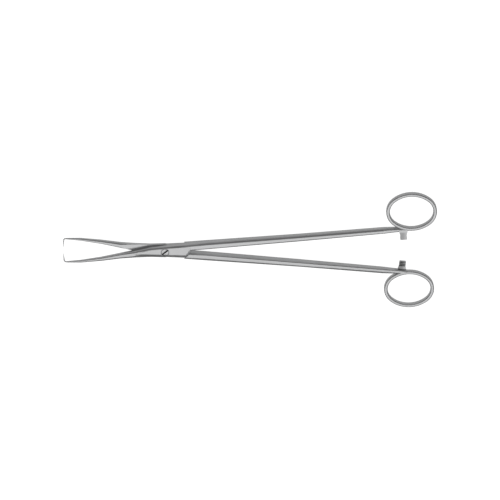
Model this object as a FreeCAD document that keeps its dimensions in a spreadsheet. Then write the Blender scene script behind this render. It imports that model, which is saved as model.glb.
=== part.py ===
import FreeCAD, Part
import Sketcher
import math
import os
import re

# Ring handled forceps, 250 mm, with a screw lap joint, a short ratchet and a hook on each jaw.
# Millimetres. The origin is where the pivot axis meets the underside of the joint, +X runs
# towards the finger rings, +Z points up through the head of the screw.
#
# Both halves are the same forging. It is drawn once, with the forceps closed: the shank on the
# +Y side, the jaw on the -Y side, the joint plate in the upper layer. The second half is that
# forging turned upside down, so its plate makes the lower layer.

SIZES = {
    # joint
    "joint_thick": (7.0, "both plates together, at the screw"),
    "lap_gap": (0.06, "running clearance between the two plates"),
    "closing_gap": (0.05, "from the middle plane to each shank when the forceps are closed"),
    "half_opening": (3.6, "degrees that each half stands open in the pose shown"),
    "grind_skin": (0.12, "forged skin that is ground off both flats of the joint"),
    "plate_low": (4.35, "edge of the joint plate on the jaw's side of the screw"),
    "plate_high": (3.95, "edge of the joint plate on the shank's side of the screw"),
    "joint_round": (2.1, "corner radius of the joint plate on the jaw's side"),
    "joint_crisp": (1.2, "its corner radius on the shank's side"),
    "cheek_across": (0.8, "centre of the forging between the screw and the shoulder"),
    "cheek_wide": (6.9, "its width there"),
    "waist_along": (10.0, "pivot to the waist behind the screw"),
    "waist_across": (0.05, "centre of the forging there"),
    "waist_wide": (7.0, "its width there"),
    "waist_thick": (6.1, "its thickness there"),
    # lap shoulder and the ear of the plate that fills the corner beside it
    "shoulder_outer": (12.9, "where the shoulder leaves the outer edge"),
    "shoulder_inner": (16.6, "where the shoulder reaches the crotch"),
    "shoulder_gap": (0.35, "between the ear and the shoulder of the other half, closed"),
    "ear_tuck": (0.25, "how far the ear's edge starts inside the edge of the plate"),
    "ear_reach": (5.45, "how far the ear's corner stands out from the middle plane"),
    # shank
    "root_wide": (4.65, "width of the shank beside the shoulder"),
    "root_thick": (6.85, "its thickness there"),
    "neck_along": (27.0, "distance from the pivot to the neck"),
    "neck_wide": (5.1, "width of the shank at the neck"),
    "neck_thick": (5.9, "its thickness there"),
    "middle_across": (4.07, "centre line of the shank half way along, from the middle plane"),
    "middle_wide": (4.5, "width of the shank half way along"),
    "middle_thick": (4.9, "its thickness there"),
    "grip_across": (5.85, "centre line of the shank just before the ring"),
    "grip_wide": (4.05, "width of the shank just before the ring"),
    "grip_thick": (4.4, "its thickness there"),
    "shank_outer": (1.95, "corner radius of the shank's outer side"),
    "shank_inner": (1.0, "corner radius of the shank's inner side"),
    # finger ring
    "ring_along": (165.2, "pivot to the centre of the ring"),
    "ring_across": (18.5, "middle plane to the centre of the ring, closed"),
    "ring_long": (33.7, "outside length of the ring"),
    "ring_wide": (27.5, "outside width of the ring"),
    "ring_end": (12.0, "outside radius of the ring's ends"),
    "ring_band": (2.4, "width of the ring's band"),
    "ring_thick": (3.7, "thickness of the ring"),
    "ring_round": (0.8, "rounding of the band"),
    # ratchet arm
    "arm_back": (6.0, "from the centre of the ring back to the middle of the ratchet arm"),
    "arm_wide": (4.3, "width of the arm"),
    "arm_past": (1.3, "how far the arm's end passes the middle plane when closed"),
    "arm_thick": (2.0, "thickness of the arm over the tooth tips"),
    "arm_gap": (0.08, "from the tooth tips to the middle of the thickness"),
    "arm_flare": (1.3, "extra width of the arm's root"),
    "arm_edge": (0.25, "chamfer of the arm's end"),
    "tooth_count": (3, "ratchet teeth on each arm"),
    "tooth_pitch": (1.15, "from tooth to tooth"),
    "tooth_deep": (0.75, "depth of the teeth"),
    "tooth_land": (0.3, "flat on the tip of each tooth"),
    # jaw
    "heel_along": (20.0, "pivot to the heel of the jaw"),
    "heel_across": (-0.65, "centre line of the jaw there, from the middle plane"),
    "heel_wide": (5.15, "its width there"),
    "heel_thick": (4.2, "its thickness there"),
    "heel_top": (3.45, "its top above the middle of the joint"),
    "jaw_relief": (0.15, "from the middle of the joint to the jaw's underside beyond the heel"),
    "crotch_along": (30.0, "pivot to the crotch of the jaws"),
    "crotch_across": (-1.37, "centre line of the jaw there"),
    "crotch_wide": (3.65, "its width there"),
    "crotch_thick": (3.3, "its thickness there"),
    "belly_along": (43.0, "pivot to the belly of the jaw"),
    "belly_across": (-3.03, "centre line of the jaw there"),
    "belly_wide": (2.6, "its width there"),
    "belly_thick": (2.75, "its thickness there"),
    "beak_along": (57.0, "pivot to the slim end of the jaw"),
    "beak_across": (-4.24, "centre line of the jaw there"),
    "beak_wide": (1.65, "its width there"),
    "beak_thick": (2.0, "its thickness there"),
    "beak_lift": (0.95, "its centre above the middle of the joint"),
    "end_along": (66.4, "pivot to the start of the hook's bend"),
    "end_across": (-4.15, "centre line of the jaw there"),
    "end_wide": (0.95, "its width and thickness there"),
    "end_lift": (0.75, "from the middle of the thickness to the centre of the hook"),
    # hook
    "hook_wide": (0.92, "diameter of the hook's bend"),
    "hook_bend": (1.6, "radius of the hook's bend"),
    "hook_long": (4.8, "straight taper from the bend to the point"),
    "hook_point": (0.2, "width of the point"),
    # pivot screw
    "head_wide": (5.2, "diameter of the screw head"),
    "head_deep": (1.5, "depth of the screw head"),
    "head_edge": (0.3, "chamfer of the head"),
    "seat_edge": (0.15, "chamfer round the seat of the head"),
    "journal_wide": (3.6, "diameter of the bearing part of the screw"),
    "thread_wide": (3.0, "diameter of the threaded part"),
    "run_gap": (0.04, "running clearance round the screw"),
    "tail_inset": (0.05, "how far the tail stops inside the lower plate"),
    "tail_edge": (0.2, "chamfer of the tail"),
    "slot_wide": (0.95, "width of the screwdriver slot"),
    "slot_deep": (0.8, "depth of the slot"),
    "slot_turn": (40.0, "degrees from the slot to +X"),
}

doc = FreeCAD.newDocument("forceps")
sheet = doc.addObject("Spreadsheet::Sheet", "Sizes")
for row, (alias, (number, note)) in enumerate(SIZES.items(), start=1):
    sheet.set(f"A{row}", note)
    sheet.set(f"B{row}", str(number))
    sheet.setAlias(f"B{row}", alias)
doc.recompute()

ACROSS_X = FreeCAD.Vector(1, 0, 0)
ACROSS_Y = FreeCAD.Vector(0, 1, 0)
UPRIGHT = FreeCAD.Vector(0, 0, 1)


def rule(text):
    """Write a rule, such as "neck_wide / 2", on the cells of the sheet."""
    return re.sub(r"\b([a-z]+_[a-z]+)\b", r"Sizes.\1", text)


def size(alias):
    return float(sheet.get(alias))


def bind(thing, rules):
    for path, text in rules.items():
        thing.setExpression(path, rule(text))


def origin_plane(body, role):
    for feature in body.Origin.OriginFeatures:
        if feature.Role == role:
            return feature
    raise ValueError(role)


def place_sketch(body, name, role, offset, turn=0.0, turn_axis=UPRIGHT):
    """A sketch on one of the body's origin planes, moved by three rules and turned in place."""
    sketch = body.newObject("Sketcher::SketchObject", name)
    sketch.AttachmentSupport = [(origin_plane(body, role), "")]
    sketch.MapMode = "FlatFace"
    sketch.AttachmentOffset = FreeCAD.Placement(
        FreeCAD.Vector(), FreeCAD.Rotation(turn_axis, turn))
    for letter, text in zip("xyz", offset):
        if text:
            bind(sketch, {f"AttachmentOffset.Base.{letter}": text})
    return sketch


def name_sizes(sketch, named):
    """Named dimensions of a sketch, each bound to a rule: (constraint, name, rule)."""
    for constraint, name, text in named:
        sketch.renameConstraint(sketch.addConstraint(constraint), name)
        bind(sketch, {f"Constraints.{name}": text})


def rounded_section(body, name, role, offset, wide, thick, rounds, turn=0.0):
    """The cross section of a bar: a rectangle with one corner radius on either side."""
    sketch = place_sketch(body, name, role, offset, turn, ACROSS_Y)
    half = 2.0
    radius = 1.0
    inset = half - radius
    point = FreeCAD.Vector
    sides = [
        (point(-inset, -half), point(inset, -half)),
        (point(half, -inset), point(half, inset)),
        (point(inset, half), point(-inset, half)),
        (point(-half, inset), point(-half, -inset)),
    ]
    corners = [(inset, -inset, -90), (inset, inset, 0), (-inset, inset, 90), (-inset, -inset, 180)]
    for (start, end), (x, y, angle) in zip(sides, corners):
        sketch.addGeometry(Part.LineSegment(start, end))
        circle = Part.Circle(point(x, y), UPRIGHT, radius)
        sketch.addGeometry(
            Part.ArcOfCircle(circle, math.radians(angle), math.radians(angle + 90)))
    for line in (0, 2, 4, 6):
        sketch.addConstraint(Sketcher.Constraint("Tangent", line, 2, line + 1, 1))
        sketch.addConstraint(Sketcher.Constraint("Tangent", line + 1, 2, (line + 2) % 8, 1))
    for line in (0, 4):
        sketch.addConstraint(Sketcher.Constraint("Horizontal", line))
        sketch.addConstraint(Sketcher.Constraint("Vertical", line + 2))
    sketch.addConstraint(Sketcher.Constraint("Equal", 1, 3))
    sketch.addConstraint(Sketcher.Constraint("Equal", 5, 7))
    low, high = rounds
    name_sizes(sketch, [
        (Sketcher.Constraint("Radius", 1, radius), "high_corner", high),
        (Sketcher.Constraint("Radius", 5, radius), "low_corner", low),
        (Sketcher.Constraint("DistanceX", -1, 1, 2, 1, half), "right", f"({wide}) / 2"),
        (Sketcher.Constraint("DistanceX", 6, 1, -1, 1, half), "left", f"({wide}) / 2"),
        (Sketcher.Constraint("DistanceY", -1, 1, 4, 1, half), "top", f"({thick}) / 2"),
        (Sketcher.Constraint("DistanceY", 0, 1, -1, 1, half), "bottom", f"({thick}) / 2"),
    ])
    return sketch


def circle_sketch(body, name, role, offset, diameter):
    sketch = place_sketch(body, name, role, offset)
    sketch.addGeometry(Part.Circle(FreeCAD.Vector(), UPRIGHT, 2))
    sketch.addConstraint(Sketcher.Constraint("Coincident", 0, 3, -1, 1))
    name_sizes(sketch, [(Sketcher.Constraint("Diameter", 0, 4), "across", diameter)])
    return sketch


def outline(body, name, role, offset, corners, turn=""):
    """A closed outline of straight edges, each corner given by two rules."""
    sketch = place_sketch(body, name, role, offset)
    if turn:
        bind(sketch, {"AttachmentOffset.Rotation.Angle": turn})
    count = len(corners)
    rough = []
    for k in range(count):
        bearing = 2 * math.pi * k / count
        rough.append(FreeCAD.Vector(10 * math.cos(bearing), 10 * math.sin(bearing)))
    for k in range(count):
        sketch.addGeometry(Part.LineSegment(rough[k], rough[(k + 1) % count]))
    for k in range(count):
        sketch.addConstraint(Sketcher.Constraint("Coincident", k, 2, (k + 1) % count, 1))
    for k, (first, second) in enumerate(corners):
        name_sizes(sketch, [
            (Sketcher.Constraint("DistanceX", -1, 1, k, 1, rough[k].x), f"first{k}", first),
            (Sketcher.Constraint("DistanceY", -1, 1, k, 1, rough[k].y), f"second{k}", second),
        ])
    return sketch


def pad(body, name, sketch, length):
    feature = body.newObject("PartDesign::Pad", name)
    feature.Profile = sketch
    bind(feature, {"Length": length})
    return feature


def pocket(body, name, sketch, length, along_normal=False):
    """Cut below the sketch, or above it with along_normal."""
    feature = body.newObject("PartDesign::Pocket", name)
    feature.Profile = sketch
    feature.Reversed = along_normal
    bind(feature, {"Length": length})
    return feature


def loft(body, name, sections):
    feature = body.newObject("PartDesign::AdditiveLoft", name)
    feature.Profile = sections[0]
    feature.Sections = sections[1:]
    feature.Ruled = True
    return feature


def dress_edges(body, name, kind, base, wanted, number):
    """Fillet or Chamfer the edges of the last feature for which wanted(edge) holds."""
    doc.recompute()
    chosen = [f"Edge{k}" for k, edge in enumerate(base.Shape.Edges, start=1) if wanted(edge)]
    feature = body.newObject(f"PartDesign::{kind}", name)
    feature.Base = (base, chosen)
    bind(feature, {{"Fillet": "Radius", "Chamfer": "Size"}[kind]: number})
    return feature


# Heights that several features share, from the underside of the joint
MIDDLE = "joint_thick / 2"
LAP_FACE = "joint_thick / 2 + lap_gap / 2"

# Lean of the lap shoulder: how far it runs along the shank for each millimetre across it
SHOULDER_LEAN = "(shoulder_inner - shoulder_outer) / (root_wide + closing_gap)"


def joint_ear(body):
    """The part of the plate that fills the corner in front of the other half's shoulder."""
    edge = f"shoulder_inner - shoulder_gap - {SHOULDER_LEAN} *"
    plan = outline(body, "ear_plan", "XY_Plane", ("", "", LAP_FACE), [
        ("0", "-plate_low + ear_tuck"),
        (f"{edge} ear_reach", "-ear_reach"),
        (f"{edge} 0", "0"),
        (f"{edge} (-root_wide / 3)", "root_wide / 3"),
        ("0", "root_wide / 3"),
    ])
    ear = pad(body, "ear", plan, "joint_thick / 2 - lap_gap / 2 + grind_skin")
    doc.recompute()
    top = ear.Shape.BoundBox.ZMax
    corner = ear.Shape.BoundBox.YMin

    def on_rim(edge):
        box = edge.BoundBox
        return box.ZMin > top - 0.01 and box.YMin < corner + 0.01 and box.XLength > 2 * box.YLength

    return dress_edges(body, "ear_rim", "Fillet", ear, on_rim, "joint_round")


def finger_ring(body):
    """A rounded band on four arcs, whose length lies along X in the pose shown."""
    path = place_sketch(body, "ring_path", "XY_Plane", ("ring_along", "ring_across", MIDDLE))
    bind(path, {"AttachmentOffset.Rotation.Angle": "-half_opening"})
    end_centre = "(ring_long / 2 - ring_end)"
    side_radius = (f"({end_centre}^2 + (ring_wide / 2)^2 - ring_end^2)"
                   " / (ring_wide - 2 * ring_end)")
    right_end = ((5, 0), 11, -50, 50)
    far_side = ((0, -6), 18, 50, 130)
    left_end = ((-5, 0), 11, 130, 230)
    by_shank = ((0, 6), 18, 230, 270)
    past_shank = ((0, 6), 18, 270, 310)
    arcs = (right_end, far_side, left_end, by_shank, past_shank)
    for (x, y), radius, start, end in arcs:
        circle = Part.Circle(FreeCAD.Vector(x, y), UPRIGHT, radius)
        path.addGeometry(Part.ArcOfCircle(circle, math.radians(start), math.radians(end)))
    for k in range(len(arcs)):
        path.addConstraint(Sketcher.Constraint("Tangent", k, 2, (k + 1) % len(arcs), 1))
    path.addConstraint(Sketcher.Constraint("PointOnObject", 0, 3, -1))
    path.addConstraint(Sketcher.Constraint("PointOnObject", 1, 3, -2))
    path.addConstraint(Sketcher.Constraint("Symmetric", 0, 3, 2, 3, -1, 1))
    path.addConstraint(Sketcher.Constraint("Equal", 1, 3))
    path.addConstraint(Sketcher.Constraint("Equal", 1, 4))
    path.addConstraint(Sketcher.Constraint("PointOnObject", 3, 2, -2))
    name_sizes(path, [
        (Sketcher.Constraint("DistanceX", -1, 1, 0, 3, 5), "end_centre", end_centre),
        (Sketcher.Constraint("Radius", 0, 11), "end_radius", "ring_end - ring_band / 2"),
        (Sketcher.Constraint("Radius", 1, 18), "side_radius", f"{side_radius} - ring_band / 2"),
    ])
    reach = "(ring_long - ring_band) / 2"
    section = rounded_section(
        body, "ring_section", "XZ_Plane",
        (f"ring_along + {reach} * cos(half_opening)", MIDDLE,
         f"{reach} * sin(half_opening) - ring_across"),
        "ring_band", "ring_thick", ("ring_round", "ring_round"), -size("half_opening"))
    bind(section, {"AttachmentOffset.Rotation.Angle": "half_opening"})
    ring = body.newObject("PartDesign::AdditivePipe", "ring")
    ring.Profile = section
    ring.Spine = path
    return ring


def bar_sections(body):
    """Cross sections of the forging, from inside the ring to the start of the hook."""
    grip = "ring_along - 0.57 * ring_long"
    jaw_height = f"{MIDDLE} + jaw_relief"
    joint = ("joint_round", "joint_crisp")
    shank = ("shank_inner", "shank_outer")
    stations = {
        "bow": ("ring_along", "ring_across - ring_wide / 2 + ring_band / 2", MIDDLE,
                "0.85 * ring_band", "0.85 * ring_thick", ("0.3 * ring_band", "0.3 * ring_band")),
        "grip": (grip, "grip_across", MIDDLE, "grip_wide", "grip_thick", shank),
        "middle": (f"0.47 * neck_along + 0.53 * ({grip})", "middle_across", MIDDLE,
                   "middle_wide", "middle_thick", shank),
        "neck": ("neck_along", "closing_gap + neck_wide / 2", MIDDLE,
                 "neck_wide", "neck_thick", shank),
        "root": ("shoulder_inner", "closing_gap + root_wide / 2", MIDDLE,
                 "root_wide", "root_thick", shank),
        "cheek": ("shoulder_inner / 2", "cheek_across", MIDDLE,
                  "cheek_wide", "joint_thick + 2 * grind_skin", joint),
        "hub": ("", "(plate_high - plate_low) / 2", MIDDLE,
                "plate_high + plate_low", "joint_thick + 2 * grind_skin", joint),
        "waist": ("-waist_along", "waist_across", "joint_thick + grind_skin - waist_thick / 2",
                  "waist_wide", "waist_thick", joint),
        "heel": ("-heel_along", "heel_across", f"{MIDDLE} + heel_top - heel_thick / 2",
                 "heel_wide", "heel_thick", ("0.45 * heel_thick", "0.33 * heel_thick")),
        "crotch": ("-crotch_along", "crotch_across", f"{jaw_height} + crotch_thick / 2",
                   "crotch_wide", "crotch_thick", ("0.45 * crotch_thick", "0.25 * crotch_thick")),
        "belly": ("-belly_along", "belly_across", f"{jaw_height} + belly_thick / 2",
                  "belly_wide", "belly_thick", ("0.45 * belly_thick", "0.25 * belly_thick")),
        "beak": ("-beak_along", "beak_across", f"{MIDDLE} + beak_lift",
                 "beak_wide", "beak_thick", ("0.4 * beak_thick", "0.25 * beak_thick")),
        "end": ("-end_along", "end_across", f"{MIDDLE} + end_lift",
                "end_wide", "end_wide", ("0.42 * end_wide", "0.42 * end_wide")),
    }
    return [
        rounded_section(body, name, "YZ_Plane", (across, height, along), wide, thick, rounds)
        for name, (along, across, height, wide, thick, rounds) in stations.items()
    ]


def hook(body):
    """The end of the jaw: eight sided wire, bent a quarter turn inwards and drawn to a point."""

    def eight_sides(name, role, offset, across):
        bearings = [45 * k + 22.5 for k in range(8)]
        return outline(body, name, role, offset, [
            (f"{across} / 2 * cos({bearing})", f"{across} / 2 * sin({bearing})")
            for bearing in bearings
        ])

    height = f"{MIDDLE} + end_lift"
    profile = eight_sides("bend_profile", "YZ_Plane", ("end_across", height, "-end_along"),
                          "hook_wide")
    axis = profile.addGeometry(
        Part.LineSegment(FreeCAD.Vector(2, -2), FreeCAD.Vector(2, 2)), True)
    profile.addConstraint(Sketcher.Constraint("Symmetric", axis, 1, axis, 2, -1))
    name_sizes(profile, [
        (Sketcher.Constraint("DistanceX", -1, 1, axis, 1, 2), "bend", "hook_bend"),
        (Sketcher.Constraint("DistanceY", axis, 1, axis, 2, 4), "axis_long", "hook_long"),
    ])
    bend = body.newObject("PartDesign::Revolution", "hook_bend")
    bend.Profile = profile
    bend.ReferenceAxis = (profile, ["Axis0"])
    bend.Angle = 90
    bend.Reversed = True
    along = "-end_along - hook_bend"
    start = "-hook_bend - end_across"
    loft(body, "hook", [
        eight_sides("taper", "XZ_Plane", (along, height, start), "hook_wide"),
        eight_sides("point", "XZ_Plane", (along, height, f"{start} - hook_long"), "hook_point"),
    ])


def ratchet_arm(body):
    """The arm under the ring: tapered root, and sawteeth on the side of the other arm."""
    half = "arm_wide / 2"
    tip = "-arm_past"
    root = "ring_across - ring_wide / 2"
    along = "ring_along - arm_back"
    plan = outline(body, "arm_plan", "XY_Plane", (along, "", f"{MIDDLE} + arm_gap"), [
        (f"-{half}", tip),
        (half, tip),
        (half, f"{root} - 2 * arm_flare"),
        (f"{half} + arm_flare / 2", root),
        (f"{half} + arm_flare / 2", f"{root} + ring_band / 2"),
        (f"-{half} - arm_flare / 2", f"{root} + ring_band / 2"),
        (f"-{half} - arm_flare / 2", root),
        (f"-{half}", f"{root} - 2 * arm_flare"),
    ])
    arm = pad(body, "arm", plan, "arm_thick")
    top = size("joint_thick") / 2 + size("arm_gap") + size("arm_thick")
    end = -size("arm_past")
    middle = size("ring_along") - size("arm_back")

    def on_rim(edge):
        box = edge.BoundBox
        on_arm = abs(box.Center.x - middle) < size("arm_wide") and box.YMin < end + 0.01
        at_end = box.YMax < end + 0.01
        return on_arm and (box.ZMin > top - 0.01 or at_end and box.ZLength > 0.1)

    dress_edges(body, "arm_rim", "Chamfer", arm, on_rim, "arm_edge")
    under = f"{MIDDLE} + arm_gap"
    first = f"{tip} + tooth_land"
    notch = outline(body, "tooth_gap", "YZ_Plane", ("", "", f"{along} - arm_wide"), [
        (first, f"{under} - tooth_deep"),
        (f"{first} + tooth_pitch - tooth_land", f"{under} - tooth_deep"),
        (f"{first} + tooth_pitch - tooth_land", under),
        (first, f"{under} + tooth_deep"),
    ])
    gap = pocket(body, "tooth_cut", notch, "2 * arm_wide", along_normal=True)
    teeth = body.newObject("PartDesign::LinearPattern", "teeth")
    teeth.Originals = [gap]
    teeth.Direction = (notch, ["H_Axis"])
    bind(teeth, {"Length": "tooth_pitch * (tooth_count - 1)", "Occurrences": "tooth_count"})
    body.Tip = teeth


def lap(body):
    """Mill away the other half's layer up to the slanting shoulder, and grind the flats."""
    reach = "2 * ear_reach"
    ends = "crotch_along + belly_wide"
    plan = outline(body, "lap_plan", "XY_Plane", ("", "", LAP_FACE), [
        (f"-({ends})", f"-({reach})"),
        (f"shoulder_inner + {SHOULDER_LEAN} * {reach}", f"-({reach})"),
        (f"shoulder_inner - {SHOULDER_LEAN} * {reach}", reach),
        (f"-({ends})", reach),
    ])
    pocket(body, "lap", plan, "joint_thick")
    for name, height, upward in (("top_flat", "joint_thick", True), ("under_flat", "0", False)):
        around = outline(body, f"{name}_plan", "XY_Plane", ("", "", height), [
            ("-crotch_along", f"-({reach})"),
            ("neck_along", f"-({reach})"),
            ("neck_along", reach),
            ("-crotch_along", reach),
        ])
        pocket(body, name, around, "joint_thick", along_normal=upward)


def forged_half(name):
    """One half without its screw hole: ear, ring, the forged bar between them, hook and arm."""
    body = doc.addObject("PartDesign::Body", name)
    body.Label = name
    body.AllowCompound = True
    joint_ear(body)
    finger_ring(body)
    loft(body, "bar", bar_sections(body))
    hook(body)
    ratchet_arm(body)
    lap(body)
    return body


def front_half():
    """The half in the upper layer: running bore for the screw and a seat for its head."""
    body = forged_half("front_half")
    top = ("", "", "joint_thick")
    bore = circle_sketch(body, "bore_plan", "XY_Plane", top, "journal_wide + 2 * run_gap")
    pocket(body, "bore", bore, "joint_thick")
    seat = circle_sketch(body, "seat_plan", "XY_Plane", top, "head_wide + 2 * run_gap")
    recess = pocket(body, "seat", seat, "head_deep + run_gap")

    def on_rim(edge):
        on_top = edge.BoundBox.ZMin > size("joint_thick") - 0.01
        return on_top and edge.isClosed() and edge.BoundBox.XLength < 1.1 * size("head_wide")

    dress_edges(body, "seat_rim", "Chamfer", recess, on_rim, "seat_edge")
    body.Placement.Rotation = FreeCAD.Rotation(UPRIGHT, size("half_opening"))
    return body


def rear_half():
    """The half in the lower layer: the same forging upside down, tapped for the screw."""
    body = forged_half("rear_half")
    top = ("", "", "joint_thick")
    tapped = circle_sketch(body, "tapped_plan", "XY_Plane", top, "thread_wide")
    pocket(body, "tapped_hole", tapped, "joint_thick")
    closed = FreeCAD.Rotation(UPRIGHT, -size("half_opening"))
    upside_down = FreeCAD.Rotation(ACROSS_X, 180)
    height = FreeCAD.Vector(0, 0, size("joint_thick"))
    body.Placement = FreeCAD.Placement(height, closed.multiply(upside_down))
    return body


def pivot_screw():
    """Slotted screw: its head in the upper plate's seat, its thread in the lower plate."""
    body = doc.addObject("PartDesign::Body", "pivot_screw")
    body.Label = "pivot_screw"
    thread_end = "joint_thick / 2 - lap_gap / 2"
    head_base = "joint_thick - head_deep"
    profile = outline(body, "screw_profile", "XZ_Plane", ("", "", ""), [
        ("0", "tail_inset"),
        ("thread_wide / 2 - tail_edge", "tail_inset"),
        ("thread_wide / 2", "tail_inset + tail_edge"),
        ("thread_wide / 2", thread_end),
        ("journal_wide / 2", thread_end),
        ("journal_wide / 2", head_base),
        ("head_wide / 2", head_base),
        ("head_wide / 2", "joint_thick - head_edge"),
        ("head_wide / 2 - head_edge", "joint_thick"),
        ("0", "joint_thick"),
    ])
    turned = body.newObject("PartDesign::Revolution", "turned")
    turned.Profile = profile
    turned.ReferenceAxis = (profile, ["V_Axis"])
    turned.Angle = 360
    slot = outline(body, "slot_plan", "XY_Plane", ("", "", "joint_thick"), [
        ("-head_wide", "-slot_wide / 2"),
        ("head_wide", "-slot_wide / 2"),
        ("head_wide", "slot_wide / 2"),
        ("-head_wide", "slot_wide / 2"),
    ], turn="slot_turn")
    pocket(body, "slot", slot, "slot_deep")
    return body


pieces = [front_half(), rear_half(), pivot_screw()]
doc.recompute()

for item in doc.Objects:
    if "Invalid" in item.State or "Error" in item.State:
        raise RuntimeError(f"{item.Name}: {item.State}")

os.makedirs("parts", exist_ok=True)
for piece in pieces:
    shape = piece.Shape
    if shape.isNull() or not shape.isValid() or len(shape.Solids) != 1:
        raise RuntimeError(f"{piece.Label}: not one valid solid")
    shape.exportStep(f"parts/{piece.Label}.step")
    print(piece.Label, round(shape.Volume, 1), shape.BoundBox)
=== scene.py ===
import math

import bmesh
import bpy
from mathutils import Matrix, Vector


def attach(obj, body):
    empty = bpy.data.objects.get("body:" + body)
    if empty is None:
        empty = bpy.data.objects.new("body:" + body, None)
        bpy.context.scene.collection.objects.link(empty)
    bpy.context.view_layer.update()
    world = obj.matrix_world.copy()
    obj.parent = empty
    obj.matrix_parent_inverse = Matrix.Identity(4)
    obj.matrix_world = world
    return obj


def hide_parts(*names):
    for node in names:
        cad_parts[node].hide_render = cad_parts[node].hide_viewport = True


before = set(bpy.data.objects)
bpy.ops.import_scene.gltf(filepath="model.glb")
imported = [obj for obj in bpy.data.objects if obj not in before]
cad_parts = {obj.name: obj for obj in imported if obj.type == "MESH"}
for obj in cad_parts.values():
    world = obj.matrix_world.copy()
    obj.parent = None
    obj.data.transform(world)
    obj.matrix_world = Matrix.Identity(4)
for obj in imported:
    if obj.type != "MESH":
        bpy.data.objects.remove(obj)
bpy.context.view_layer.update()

bl_info = {
    "name": "Ring Handled Forceps",
    "version": (1, 0, 0),
    "blender": (4, 5, 0),
    "location": "View3D > Sidebar > Forceps",
    "description": "Satin steel forceps with a screw lap joint, dressed on its CAD frame",
    "category": "Object",
}

MILLIMETRE = 0.001

# The clouds of the satin: their scale, the range over which they turn from dark to light, how
# much they tint the steel and how much they vary its roughness
CLOUD_SCALE = 90.0
CLOUD_RANGE = (0.3, 0.7)
CLOUD_TINT = (0.94, 1.04)
CLOUD_SPREAD = 0.08

# The blasted grain: how strong its bump is and how deep
GRAIN_STRENGTH = 0.15
GRAIN_DEPTH = 0.02 * MILLIMETRE

# Angles in degrees: within the first, facets are one face; above the second, an edge stays
# sharp; above the third, it is broken
ONE_FACE = 0.3
SHARP_EDGE = 30
BROKEN_EDGE = 35

# Corners that are closer than this are one, in metres, and how much finer the screw's edges are
ONE_CORNER = 1e-6
SCREW_EDGE_SHARE = 0.5

# Where the slot of the screw is, below the top of the head and from its axis. The faces there get
# a near-black painted shade
SLOT_TOP = 0.05 * MILLIMETRE
SLOT_DEEP = 0.9 * MILLIMETRE
SLOT_REACH = 2.2 * MILLIMETRE

# The joint plate, in millimetres: the level of its flat top and the level, above the screw's
# seat, below which nothing is ground. Then the ends and sides of the part that is ground, and
# the edges of the flat towards -Y and +Y, as points (x, y)
PLATE_TOP = 7.0
PLATE_LOW = 5.6
PLATE_ENDS = (-21.0, 17.5)
PLATE_SIDES = (-3.6, 4.2)
SOUTH_EDGE = ((-17.0, -2.46), (0.0, -2.94), (13.0, -3.33))
NORTH_EDGE = ((-17.1, 0.0), (-14.0, 1.12), (-10.2, 2.24), (-0.2, 3.27), (10.6, 4.04))

# The grinding, in millimetres: it sets in over START_LONG. On the +Y edge it takes off less and
# runs out over FINISH_LONG, and from NARROW_FROM on it gets narrower over NARROW_LONG
START_LONG = 6.0
FINISH_LONG = 8.0
NORTH_SHARE = 0.7
NARROW_FROM = -10.0
NARROW_LONG = 13.0
NARROW_SHARE = 0.5

# The net that is cut into the flat top, in millimetres, and how near a corner a cut may pass.
# Then which faces it cuts: how level they are, how far below the top and past its end they may be
CUT_LONG = 1.5
CUT_WIDE = 0.3
CUT_NEAR = 0.03
FACE_LEVEL = 0.99
FACE_BELOW = 0.1
FACE_PAST = 9.0

# The painted shade on the ratchet arms, in millimetres from the pivot. It darkens their colour in
# place of the shading of their tilted faces:
# deepest along their edge towards the joint and gone at the edge towards the rings' ends
ARM_MIDDLE = 157.0
ARM_HALF_LONG = 4.5
ARM_HALF_WIDE = 14.6
ARM_SOFT = 3.0
ARM_WIDE_SOFT = 1.0
# How dark the painted shade makes the arms' colour, and how much of it the upper arm gets
ARM_PAINTED_SHADE = 0.45
UPPER_ARM_SHARE = 0.66

# The soft panel that lights the forceps from above their far side, in metres
PANEL_DIRECTION = (0.0, -0.36, 0.933)
PANEL_DISTANCE = 1.7
PANEL_SIZE = (1.9, 1.0)

# The low fill light on the +Y side, from the middle of the picture, in metres
FILL_PLACE = (0.0, 1.3, 0.5)
FILL_SIZE = (1.6, 0.5)

# The floor, in metres, and how rough it is
FLOOR_REACH = 6.0
FLOOR_ROUGHNESS = 0.9

# The camera: the width of its sensor in millimetres, and how far it sees, in metres
SENSOR_WIDTH = 36.0
SEEN_TO = 20.0


class ForcepsFinish(bpy.types.PropertyGroup):
    """Colour, grain and ground edges of the steel."""

    steel_colour: bpy.props.FloatVectorProperty(
        name="Steel colour", description="Reflected colour of the satin steel",
        subtype="COLOR", size=3, min=0.0, max=1.0, default=(0.73, 0.735, 0.74))
    steel_roughness: bpy.props.FloatProperty(
        name="Steel roughness", description="Roughness of the satin faces",
        subtype="FACTOR", min=0.0, max=1.0, default=0.3)
    grain_size: bpy.props.FloatProperty(
        name="Grain size", description="Size of the blasted grain",
        subtype="DISTANCE", unit="LENGTH", default=0.25 * MILLIMETRE)
    crown_drop: bpy.props.FloatProperty(
        name="Crown drop", description="How far the ground edges of the joint plate fall",
        subtype="DISTANCE", unit="LENGTH", default=0.4 * MILLIMETRE)
    crown_reach: bpy.props.FloatProperty(
        name="Crown reach", description="How far in from its edges the joint plate is rounded",
        subtype="DISTANCE", unit="LENGTH", default=1.5 * MILLIMETRE)
    edge_width: bpy.props.FloatProperty(
        name="Edge width", description="Width of the broken edges of the halves",
        subtype="DISTANCE", unit="LENGTH", default=0.12 * MILLIMETRE)


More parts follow.
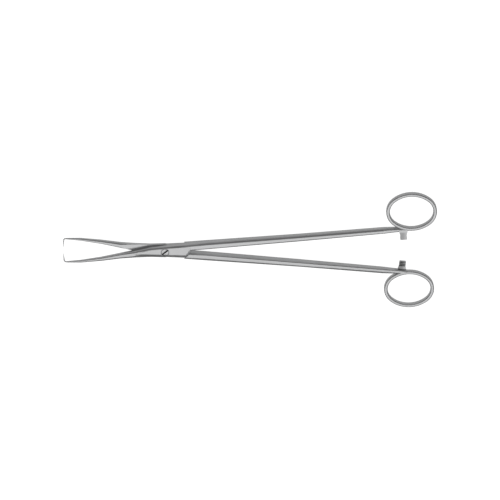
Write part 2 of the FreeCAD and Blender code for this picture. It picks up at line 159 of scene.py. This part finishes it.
class ForcepsStage(bpy.types.PropertyGroup):
    """Camera, floor and lights."""

    camera_distance: bpy.props.FloatProperty(
        name="Camera distance", description="From the lens to the middle of the picture",
        subtype="DISTANCE", unit="LENGTH", default=1.65)
    camera_tilt: bpy.props.FloatProperty(
        name="Camera tilt", description="Lean of the view from straight down, towards +Y",
        subtype="ANGLE", unit="ROTATION", default=math.radians(27.0))
    picture_width: bpy.props.FloatProperty(
        name="Picture width", description="Width that the picture takes in at the forceps",
        subtype="DISTANCE", unit="LENGTH", default=334.0 * MILLIMETRE)
    picture_centre: bpy.props.FloatVectorProperty(
        name="Picture centre", description="Point of the forceps at the middle of the picture",
        subtype="TRANSLATION", unit="LENGTH", size=3,
        default=(56.65 * MILLIMETRE, 0.1 * MILLIMETRE, 3.38 * MILLIMETRE))
    panel_power: bpy.props.FloatProperty(
        name="Panel power", description="Power of the soft panel, in watts", unit="POWER",
        min=0.0, default=4.5)
    fill_power: bpy.props.FloatProperty(
        name="Fill power", description="Power of the low fill light, in watts", unit="POWER",
        min=0.0, default=0.8)
    room_colour: bpy.props.FloatVectorProperty(
        name="Room colour", description="Light that comes from the rest of the room",
        subtype="COLOR", size=3, min=0.0, max=1.0, default=(0.14, 0.14, 0.141))
    floor_colour: bpy.props.FloatVectorProperty(
        name="Floor colour", description="Colour of the floor",
        subtype="COLOR", size=3, min=0.0, max=1.0, default=(0.8, 0.8, 0.8))
    floor_glow: bpy.props.FloatProperty(
        name="Floor glow", description="White that the camera sees on the floor beside its light",
        subtype="FACTOR", min=0.0, max=1.0, default=0.92)
    floor_bounce: bpy.props.FloatProperty(
        name="Floor bounce", description="White that the steel mirrors from the floor",
        subtype="FACTOR", min=0.0, max=1.0, default=0.22)


def new_node(tree, kind, **values):
    """A node whose settings and inputs are set by name."""
    node = tree.nodes.new(kind)
    for name, value in values.items():
        if hasattr(node, name):
            setattr(node, name, value)
        else:
            node.inputs[name.replace("_", " ")].default_value = value
    return node


def satin_grain_group():
    """Fine blasted grain: roughness that varies, and the height of the grain."""
    if "Satin grain" in bpy.data.node_groups:
        return bpy.data.node_groups["Satin grain"]
    group = bpy.data.node_groups.new("Satin grain", "ShaderNodeTree")
    face = group.interface
    for name, kind, default in (
            ("Vector", "NodeSocketVector", None), ("Grain scale", "NodeSocketFloat", 4000.0),
            ("Roughness", "NodeSocketFloat", 0.3), ("Spread", "NodeSocketFloat", CLOUD_SPREAD)):
        socket = face.new_socket(name, in_out="INPUT", socket_type=kind)
        if default is not None:
            socket.default_value = default
    for name in ("Roughness", "Height", "Mottle"):
        face.new_socket(name, in_out="OUTPUT", socket_type="NodeSocketFloat")
    link = group.links.new
    enter = group.nodes.new("NodeGroupInput")
    leave = group.nodes.new("NodeGroupOutput")
    grain = new_node(group, "ShaderNodeTexNoise", Detail=3.0)
    link(enter.outputs["Vector"], grain.inputs["Vector"])
    link(enter.outputs["Grain scale"], grain.inputs["Scale"])
    clouds = new_node(group, "ShaderNodeTexNoise", Detail=4.0, Scale=CLOUD_SCALE)
    link(enter.outputs["Vector"], clouds.inputs["Vector"])
    spread = new_node(group, "ShaderNodeMath", operation="MULTIPLY")
    centred = new_node(group, "ShaderNodeMath", operation="SUBTRACT")
    centred.inputs[1].default_value = 0.5
    link(clouds.outputs["Fac"], centred.inputs[0])
    link(centred.outputs[0], spread.inputs[0])
    link(enter.outputs["Spread"], spread.inputs[1])
    total = new_node(group, "ShaderNodeMath", operation="ADD")
    link(enter.outputs["Roughness"], total.inputs[0])
    link(spread.outputs[0], total.inputs[1])
    link(total.outputs[0], leave.inputs["Roughness"])
    link(grain.outputs["Fac"], leave.inputs["Height"])
    link(clouds.outputs["Fac"], leave.inputs["Mottle"])
    return group


def arm_painted_shade_group():
    """Mask of the painted shade on the ratchet arms: darker towards the joint, weaker on the
    upper arm.
    """
    if "Arm painted shade" in bpy.data.node_groups:
        return bpy.data.node_groups["Arm painted shade"]
    group = bpy.data.node_groups.new("Arm painted shade", "ShaderNodeTree")
    face = group.interface
    face.new_socket("Vector", in_out="INPUT", socket_type="NodeSocketVector")
    for name, default in (("Middle", ARM_MIDDLE), ("Half long", ARM_HALF_LONG),
                          ("Half wide", ARM_HALF_WIDE), ("Softness", ARM_SOFT)):
        socket = face.new_socket(name, in_out="INPUT", socket_type="NodeSocketFloat")
        socket.default_value = default * MILLIMETRE
    face.new_socket("Mask", in_out="OUTPUT", socket_type="NodeSocketFloat")
    link = group.links.new
    enter = group.nodes.new("NodeGroupInput")
    leave = group.nodes.new("NodeGroupOutput")
    parts = group.nodes.new("ShaderNodeSeparateXYZ")
    link(enter.outputs["Vector"], parts.inputs[0])
    along = new_node(group, "ShaderNodeMath", operation="SUBTRACT")
    link(parts.outputs["X"], along.inputs[0])
    link(enter.outputs["Middle"], along.inputs[1])
    both = new_node(group, "ShaderNodeMath", operation="MULTIPLY")
    for index, (value, half) in enumerate(
            ((along.outputs[0], "Half long"), (parts.outputs["Y"], "Half wide"))):
        size = new_node(group, "ShaderNodeMath", operation="ABSOLUTE")
        left = new_node(group, "ShaderNodeMath", operation="SUBTRACT")
        soft = new_node(group, "ShaderNodeMath", operation="DIVIDE", use_clamp=True)
        soft.inputs[1].default_value = ARM_WIDE_SOFT * MILLIMETRE
        if half == "Half long":
            link(enter.outputs["Softness"], soft.inputs[1])
        link(value, size.inputs[0])
        link(enter.outputs[half], left.inputs[0])
        link(size.outputs[0], left.inputs[1])
        link(left.outputs[0], soft.inputs[0])
        link(soft.outputs[0], both.inputs[index])
    upper = new_node(group, "ShaderNodeMath", operation="GREATER_THAN")
    upper.inputs[1].default_value = 0.0
    link(parts.outputs["Y"], upper.inputs[0])
    share = new_node(group, "ShaderNodeMath", operation="MULTIPLY_ADD")
    share.inputs[1].default_value = UPPER_ARM_SHARE - 1.0
    share.inputs[2].default_value = 1.0
    link(upper.outputs[0], share.inputs[0])
    mask = new_node(group, "ShaderNodeMath", operation="MULTIPLY")
    link(both.outputs[0], mask.inputs[0])
    link(share.outputs[0], mask.inputs[1])
    link(mask.outputs[0], leave.inputs["Mask"])
    return group


def satin_steel(name, colour, roughness, grain_size):
    """Blasted steel with a fine grain, soft clouds and painted shade on the ratchet arms."""
    steel = bpy.data.materials.new(name)
    steel.use_nodes = True
    tree = steel.node_tree
    link = tree.links.new
    shader = tree.nodes["Principled BSDF"]
    shader.inputs["Metallic"].default_value = 1.0
    place = tree.nodes.new("ShaderNodeTexCoord")
    grain = tree.nodes.new("ShaderNodeGroup")
    grain.node_tree = satin_grain_group()
    grain.inputs["Grain scale"].default_value = 1.0 / grain_size
    grain.inputs["Roughness"].default_value = roughness
    link(place.outputs["Object"], grain.inputs["Vector"])
    link(grain.outputs["Roughness"], shader.inputs["Roughness"])
    bump = new_node(tree, "ShaderNodeBump", Strength=GRAIN_STRENGTH, Distance=GRAIN_DEPTH)
    link(grain.outputs["Height"], bump.inputs["Height"])
    link(bump.outputs["Normal"], shader.inputs["Normal"])
    ramp = tree.nodes.new("ShaderNodeValToRGB")
    for stop, position, tint in zip(ramp.color_ramp.elements, CLOUD_RANGE, CLOUD_TINT):
        stop.position = position
        stop.color = (*[min(1.0, tint * channel) for channel in colour], 1.0)
    link(grain.outputs["Mottle"], ramp.inputs["Fac"])
    # Painted shade: the arms' colour is multiplied down by a mask from object coordinates,
    # standing in for the shading of their tilted faces
    arms = tree.nodes.new("ShaderNodeGroup")
    arms.node_tree = arm_painted_shade_group()
    link(place.outputs["Object"], arms.inputs["Vector"])
    shade = new_node(tree, "ShaderNodeMix", data_type="RGBA", blend_type="MULTIPLY")
    sockets = {socket.identifier: socket for socket in (*shade.inputs, *shade.outputs)}
    sockets["B_Color"].default_value = (ARM_PAINTED_SHADE, ARM_PAINTED_SHADE, ARM_PAINTED_SHADE, 1.0)
    link(arms.outputs["Mask"], sockets["Factor_Float"])
    link(ramp.outputs["Color"], sockets["A_Color"])
    link(sockets["Result_Color"], shader.inputs["Base Color"])
    return steel


def slot_painted_shade():
    """Painted shade: a near-black colour for the shade that falls in the slot of the screw."""
    recess = bpy.data.materials.new("Slot painted shade")
    recess.use_nodes = True
    shader = recess.node_tree.nodes["Principled BSDF"]
    shader.inputs["Base Color"].default_value = (0.03, 0.03, 0.03, 1.0)
    shader.inputs["Metallic"].default_value = 0.3
    shader.inputs["Roughness"].default_value = 0.6
    return recess


def finish_piece(name, bm, material, body, node):
    """Turn the mesh into an object that rides on its body in place of its node."""
    mesh = bpy.data.meshes.new(name)
    bm.to_mesh(mesh)
    bm.free()
    piece = bpy.data.objects.new(name, mesh)
    bpy.context.scene.collection.objects.link(piece)
    mesh.materials.append(material)
    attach(piece, body)
    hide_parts(node)
    return piece


def clamp(value):
    """The value, kept between 0 and 1."""
    return min(1.0, max(0.0, value))


def edge_at(points, x):
    """The y of a bent line at x, level beyond its ends."""
    for (x0, y0), (x1, y1) in zip(points, points[1:]):
        if x <= x1:
            return y0 + clamp((x - x0) / (x1 - x0)) * (y1 - y0)
    return points[-1][1]


def ground_away(point, drop, reach):
    """How much the grinding of the joint plate takes off at a point, all in metres."""
    x, y, z = (value / MILLIMETRE for value in point)
    if not PLATE_ENDS[0] < x < PLATE_ENDS[1] or z <= PLATE_LOW:
        return 0.0
    depth = clamp((z - PLATE_LOW) / (PLATE_TOP - PLATE_LOW))
    start = clamp((x - PLATE_ENDS[0]) / START_LONG)
    south = clamp(1.0 - (y - edge_at(SOUTH_EDGE, x)) * MILLIMETRE / reach)
    narrow = 1.0 - NARROW_SHARE * clamp((x - NARROW_FROM) / NARROW_LONG)
    north = clamp(1.0 - (edge_at(NORTH_EDGE, x) - y) * MILLIMETRE / (reach * narrow))
    north *= clamp((PLATE_ENDS[1] - x) / FINISH_LONG)
    return drop * start * depth * (south ** 2 + NORTH_SHARE * north ** 2)


def cut_places(ends, gap, direction):
    """Evenly spaced places from one end to the other, each with its direction."""
    first, last = (round(end / gap) for end in ends)
    return [(value * gap, Vector(direction)) for value in range(first, last + 1)]


def crown_plate(bm, drop, reach):
    """Round the long edges of the joint's flat top, as grinding does."""
    start = (PLATE_ENDS[0] - FACE_PAST) * MILLIMETRE
    end = PLATE_ENDS[1] * MILLIMETRE
    lowest = (PLATE_TOP - FACE_BELOW) * MILLIMETRE
    cuts = cut_places(PLATE_ENDS, CUT_LONG, (1.0, 0.0, 0.0))
    cuts += cut_places(PLATE_SIDES, CUT_WIDE, (0.0, 1.0, 0.0))
    for place, direction in cuts:
        faces = [face for face in bm.faces
                 if face.normal.z > FACE_LEVEL
                 and min(vertex.co.z for vertex in face.verts) > lowest
                 and start < face.calc_center_median().x < end]
        edges = {edge for face in faces for edge in face.edges}
        verts = {vertex for face in faces for vertex in face.verts}
        bmesh.ops.bisect_plane(
            bm, geom=[*verts, *edges, *faces], dist=CUT_NEAR * MILLIMETRE,
            plane_co=direction * place * MILLIMETRE, plane_no=direction)
    for vertex in bm.verts:
        vertex.co.z -= ground_away(vertex.co, drop, reach)


def dressed_copy(name, node, material, body, edge_width, crown=None):
    """The node's own solid with merged corners, broken edges and smooth faces.

    crown is how far the grinding of the joint plate falls and how far in it reaches.
    """
    bm = bmesh.new()
    bm.from_mesh(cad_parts[node].data)
    bmesh.ops.remove_doubles(bm, verts=bm.verts[:], dist=ONE_CORNER)
    bmesh.ops.dissolve_limit(
        bm, angle_limit=math.radians(ONE_FACE), verts=bm.verts[:], edges=bm.edges[:])
    if crown:
        crown_plate(bm, *crown)
    piece = finish_piece(name, bm, material, body, node)
    for polygon in piece.data.polygons:
        polygon.use_smooth = True
    piece.data.set_sharp_from_angle(angle=math.radians(SHARP_EDGE))
    bevel = piece.modifiers.new("Broken edges", "BEVEL")
    bevel.width = edge_width
    bevel.segments = 2
    bevel.limit_method = "ANGLE"
    bevel.angle_limit = math.radians(BROKEN_EDGE)
    bevel.harden_normals = False
    even = piece.modifiers.new("Even faces", "WEIGHTED_NORMAL")
    even.keep_sharp = False
    return piece


class FORCEPS_OT_halves(bpy.types.Operator):
    """Make the two forged halves"""

    bl_idname = "forceps.halves"
    bl_label = "Forged halves"

    def execute(self, context):
        finish = context.scene.forceps_finish
        steel = satin_steel(
            "Satin steel", finish.steel_colour, finish.steel_roughness, finish.grain_size)
        crown = (finish.crown_drop, finish.crown_reach)
        for node, body, ground in (("front_half", "front", crown), ("rear_half", "rear", None)):
            dressed_copy(f"{node}_forging", node, steel, body, finish.edge_width,
                         ground)
        return {"FINISHED"}


class FORCEPS_OT_screw(bpy.types.Operator):
    """Make the pivot screw"""

    bl_idname = "forceps.screw"
    bl_label = "Pivot screw"

    def execute(self, context):
        finish = context.scene.forceps_finish
        steel = satin_steel(
            "Screw steel", finish.steel_colour, finish.steel_roughness, finish.grain_size)
        screw = dressed_copy("pivot_screw_turned", "pivot_screw", steel, "rear",
                             SCREW_EDGE_SHARE * finish.edge_width,
                             (finish.crown_drop, finish.crown_reach))
        # Painted shade: the faces inside the slot get a near-black colour for the shade in the
        # slot
        screw.data.materials.append(slot_painted_shade())
        top = max(vertex.co.z for vertex in screw.data.vertices)
        for polygon in screw.data.polygons:
            centre = polygon.center
            below = top - centre.z
            if SLOT_TOP < below < SLOT_DEEP and centre.xy.length < SLOT_REACH:
                polygon.material_index = 1
        return {"FINISHED"}


def area_lamp(name, place, target, width, height, watts):
    """A rectangular lamp at a place, turned towards a target."""
    data = bpy.data.lights.new(name, "AREA")
    data.shape = "RECTANGLE"
    data.size = width
    data.size_y = height
    data.energy = watts
    lamp = bpy.data.objects.new(name, data)
    bpy.context.scene.collection.objects.link(lamp)
    lamp.location = place
    lamp.rotation_euler = (Vector(target) - Vector(place)).to_track_quat("-Z", "Y").to_euler()


class FORCEPS_OT_stage(bpy.types.Operator):
    """Make the floor, the lights and the camera"""

    bl_idname = "forceps.stage"
    bl_label = "Stage"

    def execute(self, context):
        scene = context.scene
        stage = scene.forceps_stage
        scene.view_settings.view_transform = "Standard"

        bm = bmesh.new()
        bmesh.ops.create_grid(bm, x_segments=1, y_segments=1, size=FLOOR_REACH)
        mesh = bpy.data.meshes.new("floor")
        bm.to_mesh(mesh)
        bm.free()
        floor = bpy.data.objects.new("floor", mesh)
        scene.collection.objects.link(floor)
        paint = bpy.data.materials.new("Floor")
        paint.use_nodes = True
        tree = paint.node_tree
        link = tree.links.new
        shader = tree.nodes["Principled BSDF"]
        shader.inputs["Base Color"].default_value = (*stage.floor_colour, 1.0)
        shader.inputs["Roughness"].default_value = FLOOR_ROUGHNESS
        glow = tree.nodes.new("ShaderNodeEmission")
        rays = tree.nodes.new("ShaderNodeLightPath")
        seen = new_node(tree, "ShaderNodeMath", operation="MULTIPLY")
        seen.inputs[1].default_value = stage.floor_glow
        mirrored = new_node(tree, "ShaderNodeMath", operation="MULTIPLY_ADD")
        mirrored.inputs[1].default_value = stage.floor_bounce
        both = tree.nodes.new("ShaderNodeAddShader")
        link(rays.outputs["Is Camera Ray"], seen.inputs[0])
        link(rays.outputs["Is Glossy Ray"], mirrored.inputs[0])
        link(seen.outputs[0], mirrored.inputs[2])
        link(mirrored.outputs[0], glow.inputs["Strength"])
        link(shader.outputs[0], both.inputs[0])
        link(glow.outputs[0], both.inputs[1])
        link(both.outputs[0], tree.nodes["Material Output"].inputs["Surface"])
        mesh.materials.append(paint)

        world = bpy.data.worlds.new("Studio")
        scene.world = world
        world.use_nodes = True
        tree = world.node_tree
        link = tree.links.new
        room = tree.nodes["Background"]
        room.inputs["Color"].default_value = (*stage.room_colour, 1.0)
        white = new_node(tree, "ShaderNodeBackground", Strength=1.0)
        white.inputs["Color"].default_value = (1.0, 1.0, 1.0, 1.0)
        blend = tree.nodes.new("ShaderNodeMixShader")
        rays = tree.nodes.new("ShaderNodeLightPath")
        link(rays.outputs["Is Camera Ray"], blend.inputs[0])
        link(room.outputs[0], blend.inputs[1])
        link(white.outputs[0], blend.inputs[2])
        link(blend.outputs[0], tree.nodes["World Output"].inputs["Surface"])

        middle = Vector(stage.picture_centre)
        over = Vector(PANEL_DIRECTION).normalized() * PANEL_DISTANCE
        area_lamp("Soft panel", middle + over, middle, *PANEL_SIZE, stage.panel_power)
        area_lamp("Fill", middle + Vector(FILL_PLACE), middle, *FILL_SIZE, stage.fill_power)

        data = bpy.data.cameras.new("Camera")
        camera = bpy.data.objects.new("Camera", data)
        scene.collection.objects.link(camera)
        tilt = stage.camera_tilt
        away = Vector((0.0, math.sin(tilt), math.cos(tilt)))
        camera.location = middle + away * stage.camera_distance
        camera.rotation_euler = (-tilt, 0.0, 0.0)
        data.sensor_width = SENSOR_WIDTH
        data.lens = SENSOR_WIDTH * stage.camera_distance / stage.picture_width
        data.clip_end = SEEN_TO
        scene.camera = camera
        return {"FINISHED"}


class FORCEPS_PT_panel(bpy.types.Panel):
    """The settings, and a button for each step"""

    bl_label = "Forceps"
    bl_idname = "FORCEPS_PT_panel"
    bl_space_type = "VIEW_3D"
    bl_region_type = "UI"
    bl_category = "Forceps"

    def draw(self, context):
        layout = self.layout
        for settings in (context.scene.forceps_finish, context.scene.forceps_stage):
            for name in settings.__annotations__:
                layout.prop(settings, name)
        for operator in OPERATORS:
            layout.operator(operator.bl_idname)


OPERATORS = (FORCEPS_OT_halves, FORCEPS_OT_screw, FORCEPS_OT_stage)
CLASSES = (ForcepsFinish, ForcepsStage, *OPERATORS, FORCEPS_PT_panel)


def register():
    for cls in CLASSES:
        bpy.utils.register_class(cls)
    bpy.types.Scene.forceps_finish = bpy.props.PointerProperty(type=ForcepsFinish)
    bpy.types.Scene.forceps_stage = bpy.props.PointerProperty(type=ForcepsStage)


def unregister():
    del bpy.types.Scene.forceps_stage
    del bpy.types.Scene.forceps_finish
    for cls in reversed(CLASSES):
        bpy.utils.unregister_class(cls)


def main():
    """Build the dressed forceps and the stage."""
    register()
    bpy.ops.forceps.halves()
    bpy.ops.forceps.screw()
    bpy.ops.forceps.stage()


if __name__ == "__main__":
    main()
